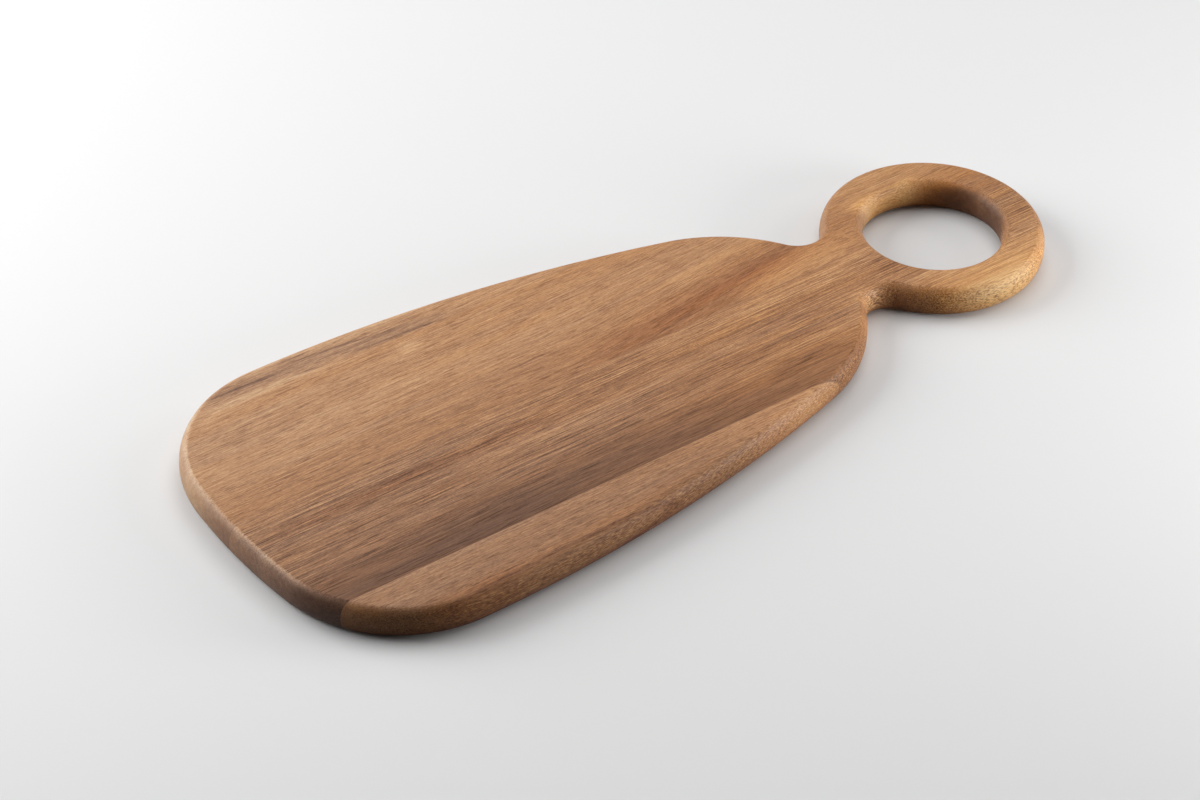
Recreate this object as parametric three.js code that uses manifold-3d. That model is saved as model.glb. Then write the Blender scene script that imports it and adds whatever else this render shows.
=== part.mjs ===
// Serving board with a ring handle: a panel of three staves glued edge to edge, sawn to a
// bottle-shaped outline, bored through the ring and rounded along every edge.
// Millimetres, +Z up. X runs across the board and Y along it, from the broad end to the ring.
// The origin lies under the middle of the board, on the surface that it rests on.

import * as THREE from 'three';
import { mergeVertices, toCreasedNormals } from 'three/addons/utils/BufferGeometryUtils.js';
import Module from 'manifold-3d';

// Driving dimensions of the whole panel
const LENGTH = 450;
const BOARD_WIDTH = 188;
const THICKNESS = 16;

// The rounded edge: how far it draws each face in, and the flat that it leaves half way up the side
const EDGE_INSET = 4.8;
const EDGE_FLAT = 1;

// The broad end and the long sides
const END_RADIUS = 320;
const CORNER_RADIUS = 66;
const WIDEST_FROM_END = 75;

// The shoulders and the neck
const SHOULDER_RADIUS = 82;
const SHOULDER_SLOPE_DEGREES = 32.5;
const NECK_WIDTH = 48.2;
const NECK_RADIUS = 12.5;

// The ring handle
const HOLE_DIAMETER = 66.6;
const RING_WALL = 20.8;

// The staves and the glue between them
const LEFT_JOINT_FROM_CENTRE = 4;
const CENTRE_STAVE_WIDTH = 68;
const GLUE_LINE = 0.2;

// Fineness of the facets
const CHORD_ERROR = 0.04;
const ROUNDING_STEPS = 8;

// The rounding from one face never takes quite half of a wall, so that two can't meet.
function limitedRounding() {
  const mostOfWall = 0.48;
  const height = (THICKNESS - EDGE_FLAT) / 2;
  return {
    inset: Math.min(EDGE_INSET, mostOfWall * RING_WALL),
    height: Math.min(height, mostOfWall * THICKNESS),
  };
}

const rounding = limitedRounding();

// Every arc of the outline touches the next one, so each centre follows from its neighbours.
// These are the centres on the right-hand side, with y counted from the broad end.
const ringRadius = HOLE_DIAMETER / 2 + RING_WALL;
const ringCentre = new THREE.Vector2(0, LENGTH - ringRadius);

// The neck fillet is a hollow arc that leaves the ring and is narrowest at NECK_WIDTH.
function neckFilletCentre() {
  const across = NECK_WIDTH / 2 + NECK_RADIUS;
  const along = Math.sqrt((ringRadius + NECK_RADIUS) ** 2 - across ** 2);
  return new THREE.Vector2(across, ringCentre.y - along);
}

// The shoulder arc takes over from the fillet where the edge has turned to the shoulder's slope.
function shoulderArcCentre(neck) {
  const slope = THREE.MathUtils.degToRad(SHOULDER_SLOPE_DEGREES);
  const reach = NECK_RADIUS + SHOULDER_RADIUS;
  return new THREE.Vector2(neck.x - reach * Math.sin(slope), neck.y - reach * Math.cos(slope));
}

// The side is one long arc, upright at the widest place and touching the shoulder arc from outside.
function sideArc(shoulder) {
  const inward = BOARD_WIDTH / 2 - shoulder.x;
  const along = shoulder.y - WIDEST_FROM_END;
  const radius = (inward ** 2 + along ** 2 - SHOULDER_RADIUS ** 2) / (2 * (inward - SHOULDER_RADIUS));
  return { radius, centre: new THREE.Vector2(BOARD_WIDTH / 2 - radius, WIDEST_FROM_END) };
}

// The corner arc touches the bowed end and the side from within: its centre is where two circles
// about their centres cross, on the right-hand side of the line that joins them.
function cornerArcCentre(end, side) {
  const fromEnd = END_RADIUS - CORNER_RADIUS;
  const fromSide = side.radius - CORNER_RADIUS;
  const line = new THREE.Vector2().subVectors(side.centre, end);
  const distance = line.length();
  const along = (distance ** 2 + fromEnd ** 2 - fromSide ** 2) / (2 * distance);
  const across = Math.sqrt(fromEnd ** 2 - along ** 2);
  line.normalize();
  return new THREE.Vector2(
    end.x + line.x * along - line.y * across,
    end.y + line.y * along + line.x * across,
  );
}

const endCentre = new THREE.Vector2(0, END_RADIUS);
const neckCentre = neckFilletCentre();
const shoulderCentre = shoulderArcCentre(neckCentre);
const side = sideArc(shoulderCentre);
const cornerCentre = cornerArcCentre(endCentre, side);

function direction(from, to) {
  return Math.atan2(to.y - from.y, to.x - from.x);
}

// Points along an arc, closer together the tighter it bends, so that each facet's chord stays
// within CHORD_ERROR of the arc.
function arcPoints(centre, radius, startAngle, endAngle) {
  const clockwise = endAngle < startAngle;
  const step = 2 * Math.acos(1 - CHORD_ERROR / radius);
  const steps = Math.ceil(Math.abs(endAngle - startAngle) / step);
  const arc = new THREE.EllipseCurve(
    centre.x, centre.y, radius, radius, startAngle, endAngle, clockwise,
  );
  return arc.getPoints(steps);
}

// The right half of the outline, from the middle of the broad end to the far side of the ring.
function halfOutline() {
  const endToCorner = direction(endCentre, cornerCentre);
  const cornerToSide = direction(side.centre, cornerCentre);
  const sideToShoulder = direction(side.centre, shoulderCentre);
  const shoulderToNeck = direction(shoulderCentre, neckCentre);
  const neckToRing = direction(neckCentre, ringCentre);
  const quarterTurn = Math.PI / 2;
  const arcs = [
    arcPoints(endCentre, END_RADIUS, -quarterTurn, endToCorner),
    arcPoints(cornerCentre, CORNER_RADIUS, endToCorner, cornerToSide),
    arcPoints(side.centre, side.radius, cornerToSide, sideToShoulder),
    arcPoints(shoulderCentre, SHOULDER_RADIUS, sideToShoulder, shoulderToNeck),
    arcPoints(neckCentre, NECK_RADIUS, shoulderToNeck + Math.PI, neckToRing),
    arcPoints(ringCentre, ringRadius, neckToRing - Math.PI, quarterTurn),
  ];
  return arcs.flatMap((points, index) => (index === 0 ? points : points.slice(1)));
}

// The whole outline: the right half, then its mirror image back to the broad end.
function boardShape() {
  const right = halfOutline();
  const left = right.slice(1, -1).reverse().map((point) => new THREE.Vector2(-point.x, point.y));
  const shape = new THREE.Shape([...right, ...left]);
  const hole = arcPoints(ringCentre, HOLE_DIAMETER / 2, 0, 2 * Math.PI);
  shape.holes.push(new THREE.Path(hole.slice(0, -1)));
  return shape;
}

const wasm = await Module();
wasm.setup();

function toSolid(geometry) {
  geometry.deleteAttribute('normal');
  geometry.deleteAttribute('uv');
  const merged = mergeVertices(geometry);
  const mesh = new wasm.Mesh({
    numProp: 3,
    vertProperties: new Float32Array(merged.attributes.position.array),
    triVerts: new Uint32Array(merged.index.array),
  });
  return new wasm.Manifold(mesh);
}

function toGeometry(solid) {
  const mesh = solid.getMesh();
  const geometry = new THREE.BufferGeometry();
  geometry.setAttribute('position', new THREE.BufferAttribute(mesh.vertProperties, 3));
  geometry.setIndex(new THREE.BufferAttribute(mesh.triVerts, 1));
  return toCreasedNormals(geometry);
}

// The glued panel after sawing, boring and rounding: the outline carried up through the thickness,
// with a quarter of an ellipse from each face down to the flat of the side, round the hole too.
function roundedPanel() {
  const geometry = new THREE.ExtrudeGeometry(boardShape(), {
    depth: THICKNESS - 2 * rounding.height,
    steps: 1,
    bevelEnabled: true,
    bevelThickness: rounding.height,
    bevelSize: rounding.inset,
    bevelOffset: -rounding.inset,
    bevelSegments: ROUNDING_STEPS,
  });
  geometry.translate(0, -LENGTH / 2, rounding.height);
  return toSolid(geometry);
}

// A strip of the panel's full height between two planes across X and two planes across Y.
function strip(xFrom, xTo, yFrom, yTo) {
  const geometry = new THREE.BoxGeometry(xTo - xFrom, yTo - yFrom, 2 * THICKNESS);
  geometry.translate((xFrom + xTo) / 2, (yFrom + yTo) / 2, THICKNESS / 2);
  return toSolid(geometry);
}

// The joints run straight along Y. The left one goes right through the neck and the ring, where
// the hole parts it, and the right one runs out on the shoulder, short of the neck. A cut that is
// open on one side goes well beyond the panel there.
const leftJoint = -LEFT_JOINT_FROM_CENTRE;
const rightJoint = leftJoint + CENTRE_STAVE_WIDTH;
const halfGlue = GLUE_LINE / 2;
const beyond = LENGTH;
const neckY = neckCentre.y - LENGTH / 2;
const ringY = ringCentre.y - LENGTH / 2;

const panel = roundedPanel();
const besideRightStave = strip(rightJoint - halfGlue, beyond, -beyond, neckY);

const solids = {
  left_stave: panel.intersect(strip(-beyond, leftJoint - halfGlue, -beyond, beyond)),
  centre_stave: panel
    .intersect(strip(leftJoint + halfGlue, beyond, -beyond, beyond))
    .subtract(besideRightStave),
  right_stave: panel.intersect(strip(rightJoint + halfGlue, beyond, -beyond, neckY)),
  left_glue_line_body: panel
    .intersect(strip(leftJoint - halfGlue, leftJoint + halfGlue, -beyond, ringY)),
  left_glue_line_ring: panel
    .intersect(strip(leftJoint - halfGlue, leftJoint + halfGlue, ringY, beyond)),
  right_glue_line: panel
    .intersect(strip(rightJoint - halfGlue, rightJoint + halfGlue, -beyond, neckY)),
};

// Oiled wood, each stave with its own tone, and the cured glue, a shade darker than the wood.
const finishes = {
  left_stave: { color: 0xb78c68, roughness: 0.5 },
  centre_stave: { color: 0x9a7456, roughness: 0.5 },
  right_stave: { color: 0xa57d5f, roughness: 0.5 },
  left_glue_line_body: { color: 0x6e4f38, roughness: 0.6 },
  left_glue_line_ring: { color: 0x6e4f38, roughness: 0.6 },
  right_glue_line: { color: 0x6e4f38, roughness: 0.6 },
};

const board = new THREE.Group();
for (const [name, solid] of Object.entries(solids)) {
  const material = new THREE.MeshStandardMaterial({ ...finishes[name], metalness: 0 });
  const mesh = new THREE.Mesh(toGeometry(solid), material);
  mesh.name = name;
  board.add(mesh);
}

export default board;
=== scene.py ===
# %% [markdown]
# # A serving board with a ring handle
# The real board is three planks of oiled hardwood, glued edge to edge, sawn to one flowing
# outline, bored through the ring and rounded along every edge. This lesson builds that look
# in Blender around the measured frame: first the shapes, as surfaces worked out with numpy, then
# the wood, then the light and the camera.

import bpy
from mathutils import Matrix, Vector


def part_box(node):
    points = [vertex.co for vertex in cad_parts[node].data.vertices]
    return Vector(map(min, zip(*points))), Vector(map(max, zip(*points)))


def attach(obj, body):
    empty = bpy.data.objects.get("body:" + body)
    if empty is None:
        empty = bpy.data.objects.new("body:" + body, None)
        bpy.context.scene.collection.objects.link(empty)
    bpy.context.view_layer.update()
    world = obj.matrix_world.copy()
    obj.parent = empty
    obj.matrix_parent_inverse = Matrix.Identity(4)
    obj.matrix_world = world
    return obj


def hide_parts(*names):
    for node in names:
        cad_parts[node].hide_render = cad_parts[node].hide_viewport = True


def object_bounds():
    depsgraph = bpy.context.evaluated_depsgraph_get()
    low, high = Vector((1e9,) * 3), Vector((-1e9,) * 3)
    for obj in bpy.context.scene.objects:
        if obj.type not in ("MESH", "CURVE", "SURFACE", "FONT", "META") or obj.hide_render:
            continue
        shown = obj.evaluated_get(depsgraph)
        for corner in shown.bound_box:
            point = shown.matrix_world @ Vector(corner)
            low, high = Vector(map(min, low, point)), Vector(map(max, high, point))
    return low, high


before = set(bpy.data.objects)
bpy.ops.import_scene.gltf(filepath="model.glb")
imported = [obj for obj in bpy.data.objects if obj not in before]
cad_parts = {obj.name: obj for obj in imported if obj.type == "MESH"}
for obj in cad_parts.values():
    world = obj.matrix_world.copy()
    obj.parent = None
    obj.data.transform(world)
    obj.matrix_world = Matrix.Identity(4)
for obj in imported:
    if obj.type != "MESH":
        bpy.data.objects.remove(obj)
cad_low, cad_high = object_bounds()
print("frame box in metres:", [round(value, 4) for value in (*cad_low, *cad_high)])

# %% Modules
import math

import bpy
import numpy as np
from mathutils import Matrix

print("Blender", bpy.app.version_string, "with numpy", np.__version__)

# %% [markdown]
# ## The outline
# The maker sawed the board along a template. Its edge is a chain of round arcs, each one touching
# the next: a bowed end, a corner, a long side, a shoulder, a hollow at the neck and the ring. A
# Bezier curve drawn by eye would wobble where two arcs meet. So the arcs are set by their radii,
# and every centre follows from the rule that touching arcs share a tangent.

# %% Sizes of the template
MM = 0.001
LENGTH = cad_high.y - cad_low.y
THICKNESS = cad_high.z - cad_low.z
HALF_WIDTH = 94 * MM
WIDEST_FROM_END = 75 * MM
END_RADIUS = 320 * MM
CORNER_RADIUS = 66 * MM
SHOULDER_RADIUS = 82 * MM
SHOULDER_SLOPE = math.radians(32.5)
NECK_HALF_WIDTH = 24.1 * MM
NECK_RADIUS = 12.5 * MM
RING_RADIUS = 54.1 * MM
HOLE_RADIUS = 33.3 * MM
BROAD_END_Y = cad_low.y
RING_Y = cad_high.y - RING_RADIUS
print(f"template {LENGTH / MM:.0f} mm long, planks {THICKNESS / MM:.0f} mm thick")


# %% Centres of the touching arcs
def touching_arcs():
    """The right half of the outline as (centre, radius, start angle, end angle) rows.

    Two arcs touch where the line through their centres meets them, so a centre lies at the sum of
    the radii from its neighbour's where the bend changes sides, and at the difference elsewhere.
    """
    ring = np.array((0.0, RING_Y))
    across = NECK_HALF_WIDTH + NECK_RADIUS
    neck = np.array((across, RING_Y - math.sqrt((RING_RADIUS + NECK_RADIUS) ** 2 - across ** 2)))
    slope = np.array((math.sin(SHOULDER_SLOPE), math.cos(SHOULDER_SLOPE)))
    shoulder = neck - (NECK_RADIUS + SHOULDER_RADIUS) * slope
    widest_y = BROAD_END_Y + WIDEST_FROM_END
    inward = HALF_WIDTH - shoulder[0]
    along = shoulder[1] - widest_y
    side_radius = (inward ** 2 + along ** 2 - SHOULDER_RADIUS ** 2) / (2 * (inward - SHOULDER_RADIUS))
    side = np.array((HALF_WIDTH - side_radius, widest_y))
    end = np.array((0.0, BROAD_END_Y + END_RADIUS))
    corner = crossing_of_circles(end, END_RADIUS - CORNER_RADIUS, side, side_radius - CORNER_RADIUS)
    end_to_corner = angle_of(corner - end)
    corner_to_side = angle_of(corner - side)
    side_to_shoulder = angle_of(shoulder - side)
    shoulder_to_neck = angle_of(neck - shoulder)
    neck_to_ring = angle_of(ring - neck)
    return [
        (end, END_RADIUS, -math.pi / 2, end_to_corner),
        (corner, CORNER_RADIUS, end_to_corner, corner_to_side),
        (side, side_radius, corner_to_side, side_to_shoulder),
        (shoulder, SHOULDER_RADIUS, side_to_shoulder, shoulder_to_neck),
        (neck, NECK_RADIUS, shoulder_to_neck + math.pi, neck_to_ring),
        (ring, RING_RADIUS, neck_to_ring - math.pi, math.pi / 2),
    ]


def angle_of(vector):
    """The direction of a vector in the plane, as an angle from the X axis."""
    return math.atan2(vector[1], vector[0])


def crossing_of_circles(a, radius_a, b, radius_b):
    """Where two circles cross, on the right-hand side: along the line of centres, then square to it."""
    line = b - a
    distance = np.linalg.norm(line)
    line = line / distance
    along = (distance ** 2 + radius_a ** 2 - radius_b ** 2) / (2 * distance)
    across = math.sqrt(radius_a ** 2 - along ** 2)
    return a + along * line + across * np.array((-line[1], line[0]))


ARCS = touching_arcs()
radii = [round(radius / MM, 1) for _, radius, _, _ in ARCS]
print("radii from the broad end to the ring, in mm:", radii)

# %% Walk along the outline and round the hole
STEP = 0.1 * MM
SAME_PLACE = 1e-6 * MM


def walk(arcs):
    """Points and outward normals along a chain of arcs, centre + radius * (cos a, sin a).

    A hollow arc turns the other way, and its outward normal points at its centre.
    """
    points, normals = [], []
    for centre, radius, start, end in arcs:
        steps = max(2, round(abs(end - start) * radius / STEP))
        angle = np.linspace(start, end, steps)
        ray = np.stack((np.cos(angle), np.sin(angle)), axis=1)
        points.append(centre + radius * ray)
        normals.append(ray if end > start else -ray)
    return np.concatenate(points), np.concatenate(normals)


def measured(points, normals, start):
    """A path: its points, its normals and the distance walked, counted from the given start."""
    gap = np.linalg.norm(np.diff(points, axis=0), axis=1)
    distance = start + np.concatenate(([0.0], np.cumsum(gap)))
    keep = np.concatenate(([True], gap > SAME_PLACE))
    return {"distance": distance[keep], "point": points[keep], "normal": normals[keep]}


half_point, half_normal = walk(ARCS)
mirror = np.array((-1.0, 1.0))
turn_point = np.concatenate((half_point[::-1] * mirror, half_point))
turn_normal = np.concatenate((half_normal[::-1] * mirror, half_normal))
HALF_WALK = np.linalg.norm(np.diff(half_point, axis=0), axis=1).sum()

# Two turns in a row, counted from the middle of the broad end, so that a stretch may pass the start.
OUTER = measured(np.tile(turn_point, (2, 1)), np.tile(turn_normal, (2, 1)), -HALF_WALK)

# The hole is walked clockwise, with the wood on the left, from half a turn before its far side.
hole_ring = [(np.array((0.0, RING_Y)), HOLE_RADIUS, 1.5 * math.pi, -2.5 * math.pi)]
HOLE = measured(*walk(hole_ring), -math.pi * HOLE_RADIUS)
print(f"outline {2 * HALF_WALK / MM:.1f} mm, hole {2 * math.pi * HOLE_RADIUS / MM:.1f} mm round")

# %% [markdown]
# ## The rounded edge
# The edge was rounded over from both faces, round the hole too, until hardly any of the sawn side was
# left. A Bevel modifier makes part circles, and this rounding reaches further down than in. So the
# profile is worked out as quarters of an ellipse, with its rows closest where it bends the most.

# %% The rounded edge as a profile
EDGE_INSET = 4.8 * MM
EDGE_FLAT = 1.0 * MM
ROUND_STEPS = 16
FLAT_RIM = 1.2 * MM


def edge_profile():
    """Rows of (inset from the outline, height, tilt of the normal), from the underside to the top.

    A quarter of an ellipse turns up from the underside, the side stands straight for a hair, and
    another quarter turns over to the top: inset = a * (1 - cos u), height = b * sin u about its
    centre, and the normal's tilt has tan(tilt) = a / b * tan(u). Rows are spaced evenly in tilt.
    One more row on each face, a little further in, keeps the faces' shading flat.
    """
    reach = (THICKNESS - EDGE_FLAT) / 2
    rising = np.linspace(-math.pi / 2, 0, ROUND_STEPS + 1)
    tilt = np.concatenate((rising[:1], rising, -rising[::-1], -rising[:1]))
    turn = np.arctan2(reach * np.sin(tilt), EDGE_INSET * np.cos(tilt))
    inset = EDGE_INSET * (1 - np.cos(turn))
    inset[[0, -1]] += FLAT_RIM
    centre_height = np.where(np.arange(len(tilt)) < len(tilt) // 2, reach, THICKNESS - reach)
    return inset, cad_low.z + centre_height + reach * np.sin(turn), tilt


INSET, HEIGHT, TILT = edge_profile()
print(f"edge profile of {len(TILT)} levels, {EDGE_INSET / MM} mm into each face")

# %% [markdown]
# ## Staves and glue lines
# The planks were glued first and shaped afterwards, so the rounded edge runs straight across every
# joint. Cutting a finished mesh with booleans would leave ragged triangles along the joints. So
# each piece is lofted: its edge profile is carried along the stretches of outline that the piece
# owns, and every level of the profile starts and stops exactly on the joint's plane.

# %% Where a joint's plane crosses the outline
HOLE_TURN = 2 * math.pi * HOLE_RADIUS
RING_QUARTER = math.pi / 2 * RING_RADIUS
right_half = (OUTER["distance"] > 0) & (OUTER["distance"] < HALF_WALK)
WIDEST = OUTER["distance"][np.argmax(OUTER["point"][:, 0] * right_half)]
NECK = HALF_WALK - 2 * RING_QUARTER

# Stretches of each path on which X only rises or only falls, so that a plane across X meets them once.
BROAD_END = (OUTER, (-WIDEST, WIDEST))
SHOULDER = (OUTER, (WIDEST, NECK))
RING_FAR = (OUTER, (HALF_WALK - RING_QUARTER, HALF_WALK + RING_QUARTER))
RING_FAR_BEFORE = (OUTER, (-HALF_WALK, RING_QUARTER - HALF_WALK))
HOLE_FAR = (HOLE, (-HOLE_TURN / 4, HOLE_TURN / 4))
HOLE_NEAR = (HOLE, (HOLE_TURN / 4, 3 * HOLE_TURN / 4))
HOLE_FAR_AFTER = (HOLE, (3 * HOLE_TURN / 4, 5 * HOLE_TURN / 4))


def crossing(stretch, plane):
    """The distance along a path at which each level of the profile meets the plane x = plane."""
    path, (low, high) = stretch
    inside = (path["distance"] >= low) & (path["distance"] <= high)
    along = path["distance"][inside]
    levels = path["point"][inside, :1] - path["normal"][inside, :1] * INSET
    if levels[0, 0] > levels[-1, 0]:
        along, levels = along[::-1], levels[::-1]
    return np.array([np.interp(plane, level, along) for level in levels.T])


print(f"widest {WIDEST / MM:.0f} mm along the outline, half way round {HALF_WALK / MM:.0f} mm")

# %% Carry the profile along a stretch
GRID = 1.2 * MM


def loft(start, start_plane, end, end_plane):
    """A grid of points and normals, profile level by place along the path.

    A place is a share t of the way between the two crossings: outline(t) - inset * normal(t).
    """
    path = start[0]
    first, last = crossing(start, start_plane), crossing(end, end_plane)
    count = max(2, round(abs(last - first).max() / GRID))
    share = np.linspace(0, 1, count)
    distance = first[:, None] + (last - first)[:, None] * share
    outline = [np.interp(distance, path["distance"], path["point"][:, axis]) for axis in (0, 1)]
    outward = [np.interp(distance, path["distance"], path["normal"][:, axis]) for axis in (0, 1)]
    x, y = (o - INSET[:, None] * n for o, n in zip(outline, outward))
    x[:, 0], x[:, -1] = start_plane, end_plane
    z = np.broadcast_to(HEIGHT[:, None], x.shape)
    lean, rise = np.cos(TILT)[:, None], np.sin(TILT)[:, None]
    normal = (outward[0] * lean, outward[1] * lean, np.broadcast_to(rise, x.shape))
    return np.stack((x, y, z), axis=-1), np.stack(normal, axis=-1)


print(f"a loft has {len(TILT)} levels and a place every {GRID / MM} mm")

# %% Close the lofted stretches into one piece
SHARP_ANGLE = math.radians(50)


def board_piece(name, runs):
    """A closed piece: its lofted edge runs, a flat face above and below, and one at each joint."""
    points, normals, numbers, faces, used = [], [], [], [], 0
    for run in runs:
        point, normal = loft(*run)
        number = used + np.arange(point.shape[0] * point.shape[1]).reshape(point.shape[:2])
        used += number.size
        corners = (number[:-1, :-1], number[:-1, 1:], number[1:, 1:], number[1:, :-1])
        faces += np.stack(corners, axis=-1).reshape(-1, 4).tolist()
        points.append(point.reshape(-1, 3))
        normals.append(normal.reshape(-1, 3))
        numbers.append(number)
    faces.append(np.concatenate([number[-1] for number in numbers]).tolist())
    faces.append(np.concatenate([number[0] for number in numbers])[::-1].tolist())
    for this, following in zip(numbers, numbers[1:] + numbers[:1]):
        faces.append(np.concatenate((following[:, 0], this[::-1, -1])).tolist())
    mesh = bpy.data.meshes.new(name)
    mesh.from_pydata(np.concatenate(points), [], faces)
    mesh.shade_smooth()
    mesh.set_sharp_from_angle(angle=SHARP_ANGLE)
    facing = mesh.attributes.new("facing", "FLOAT_VECTOR", "POINT")
    facing.data.foreach_set("vector", np.concatenate(normals).astype(np.float32).ravel())
    piece = bpy.data.objects.new(name, mesh)
    bpy.context.scene.collection.objects.link(piece)
    print(f"{name}: {len(mesh.vertices)} points, {len(mesh.polygons)} faces")
    return piece


# %% The six pieces
LEFT_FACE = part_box("left_stave")[1].x
CENTRE_LEFT_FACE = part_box("centre_stave")[0].x
CENTRE_RIGHT_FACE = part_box("right_glue_line")[0].x
RIGHT_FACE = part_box("right_stave")[0].x

PIECES = {
    "left_stave": [
        (RING_FAR_BEFORE, LEFT_FACE, BROAD_END, LEFT_FACE),
        (HOLE_NEAR, LEFT_FACE, HOLE_FAR_AFTER, LEFT_FACE),
    ],
    "centre_stave": [
        (BROAD_END, CENTRE_LEFT_FACE, BROAD_END, CENTRE_RIGHT_FACE),
        (SHOULDER, CENTRE_RIGHT_FACE, RING_FAR, CENTRE_LEFT_FACE),
        (HOLE_FAR, CENTRE_LEFT_FACE, HOLE_NEAR, CENTRE_LEFT_FACE),
    ],
    "right_stave": [
        (BROAD_END, RIGHT_FACE, SHOULDER, RIGHT_FACE),
    ],
    "left_glue_line_body": [
        (BROAD_END, LEFT_FACE, BROAD_END, CENTRE_LEFT_FACE),
        (HOLE_NEAR, CENTRE_LEFT_FACE, HOLE_NEAR, LEFT_FACE),
    ],
    "left_glue_line_ring": [
        (RING_FAR, CENTRE_LEFT_FACE, RING_FAR, LEFT_FACE),
        (HOLE_FAR, LEFT_FACE, HOLE_FAR, CENTRE_LEFT_FACE),
    ],
    "right_glue_line": [
        (BROAD_END, CENTRE_RIGHT_FACE, BROAD_END, RIGHT_FACE),
        (SHOULDER, RIGHT_FACE, SHOULDER, CENTRE_RIGHT_FACE),
    ],
}

pieces = {}
for node_name, runs in PIECES.items():
    ending = "_wood" if "stave" in node_name else "_film"
    pieces[node_name] = board_piece(node_name + ending, runs)

# %% [markdown]
# ## Oiled wood
# The staves are one kind of wood with three tempers: golden on the left, brown and straight-lined
# in the middle, pale and pinkish on the right. A flat picture of wood would stop at the edges. So
# the grain is a solid pattern that fills the plank: long fibres and short pores run along Y, and
# the round-overs and the end grain cut through them, as a router does.

# %% Helpers that write node formulas
FLOAT, VECTOR, COLOR = "NodeSocketFloat", "NodeSocketVector", "NodeSocketColor"


def plug(tree, value, socket):
    """Links a socket to another socket, or sets it to a plain value."""
    if isinstance(value, bpy.types.NodeSocket):
        tree.links.new(value, socket)
    else:
        socket.default_value = value


def add_node(tree, kind, inputs=None, **settings):
    """A new node with its settings, and its inputs plugged by name or number."""
    node = tree.nodes.new(kind)
    for name, value in settings.items():
        setattr(node, name, value)
    for key, value in (inputs or {}).items():
        plug(tree, value, node.inputs[key])
    return node


def place_group(tree, group, **inputs):
    """A copy of a node group in a tree. An input's name is written with _ for a space."""
    labels = {name.replace("_", " "): value for name, value in inputs.items()}
    return add_node(tree, "ShaderNodeGroup", labels, node_tree=group).outputs


def calc(tree, operation, *values):
    """One step of arithmetic, as a Math node."""
    return add_node(tree, "ShaderNodeMath", dict(enumerate(values)), operation=operation).outputs[0]


def vector_calc(tree, operation, *values):
    """One step of arithmetic on vectors or colours, as a Vector Math node."""
    node = add_node(tree, "ShaderNodeVectorMath", dict(enumerate(values)), operation=operation)
    return node.outputs[0]


def ease(tree, value, low, high, at_low=0.0, at_high=1.0):
    """A smooth step from at_low to at_high while value goes from low to high."""
    ends = {"From Min": low, "From Max": high, "To Min": at_low, "To Max": at_high}
    inputs = {"Value": value, **ends}
    node = add_node(tree, "ShaderNodeMapRange", inputs, interpolation_type="SMOOTHSTEP")
    return node.outputs["Result"]


print("sockets for values, places and colours:", FLOAT, VECTOR, COLOR)

# %% Helpers for ramps, groups and colours
def colour_ramp(tree, share, stops, interpolation="LINEAR"):
    """A colour ramp through (position from 0 to 1, colour) stops."""
    ramp = add_node(tree, "ShaderNodeValToRGB", {"Fac": share})
    ramp.color_ramp.interpolation = interpolation
    elements = ramp.color_ramp.elements
    while len(elements) < len(stops):
        elements.new(1.0)
    for element, (position, colour) in zip(elements, stops):
        element.position = position
        element.color = colour
    return ramp.outputs["Color"]


def new_group(name, inputs, outputs):
    """A shader node group with these sockets, and its two ends to plug into."""
    group = bpy.data.node_groups.new(name, "ShaderNodeTree")
    for label, kind, default in inputs:
        group.interface.new_socket(label, in_out="INPUT", socket_type=kind).default_value = default
    for label, kind in outputs:
        group.interface.new_socket(label, in_out="OUTPUT", socket_type=kind)
    print("group:", name)
    return group, group.nodes.new("NodeGroupInput").outputs, group.nodes.new("NodeGroupOutput").inputs


def on_screen(red, green, blue):
    """A colour as it looks on screen, 0 to 255, as the light values that shaders use.

    The screen's standard curve has a short straight foot, and is a power of 2.4 from there on.
    """
    share = np.array((red, green, blue)) / 255
    light = np.where(share <= 0.04045, share / 12.92, ((share + 0.055) / 1.055) ** 2.4)
    return (*light.tolist(), 1.0)


print(f"half way up the screen's scale is {on_screen(128, 128, 128)[0]:.3f} of full light")

# %% Group: a place in the plank
DRIFT_CELL = (45.0, 150.0, 60.0)
SWEEP_BESIDE, SWEEP_ACROSS, SWEEP_ALONG = 12.0, (8.0, 60.0), (190.0, 345.0)


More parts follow.
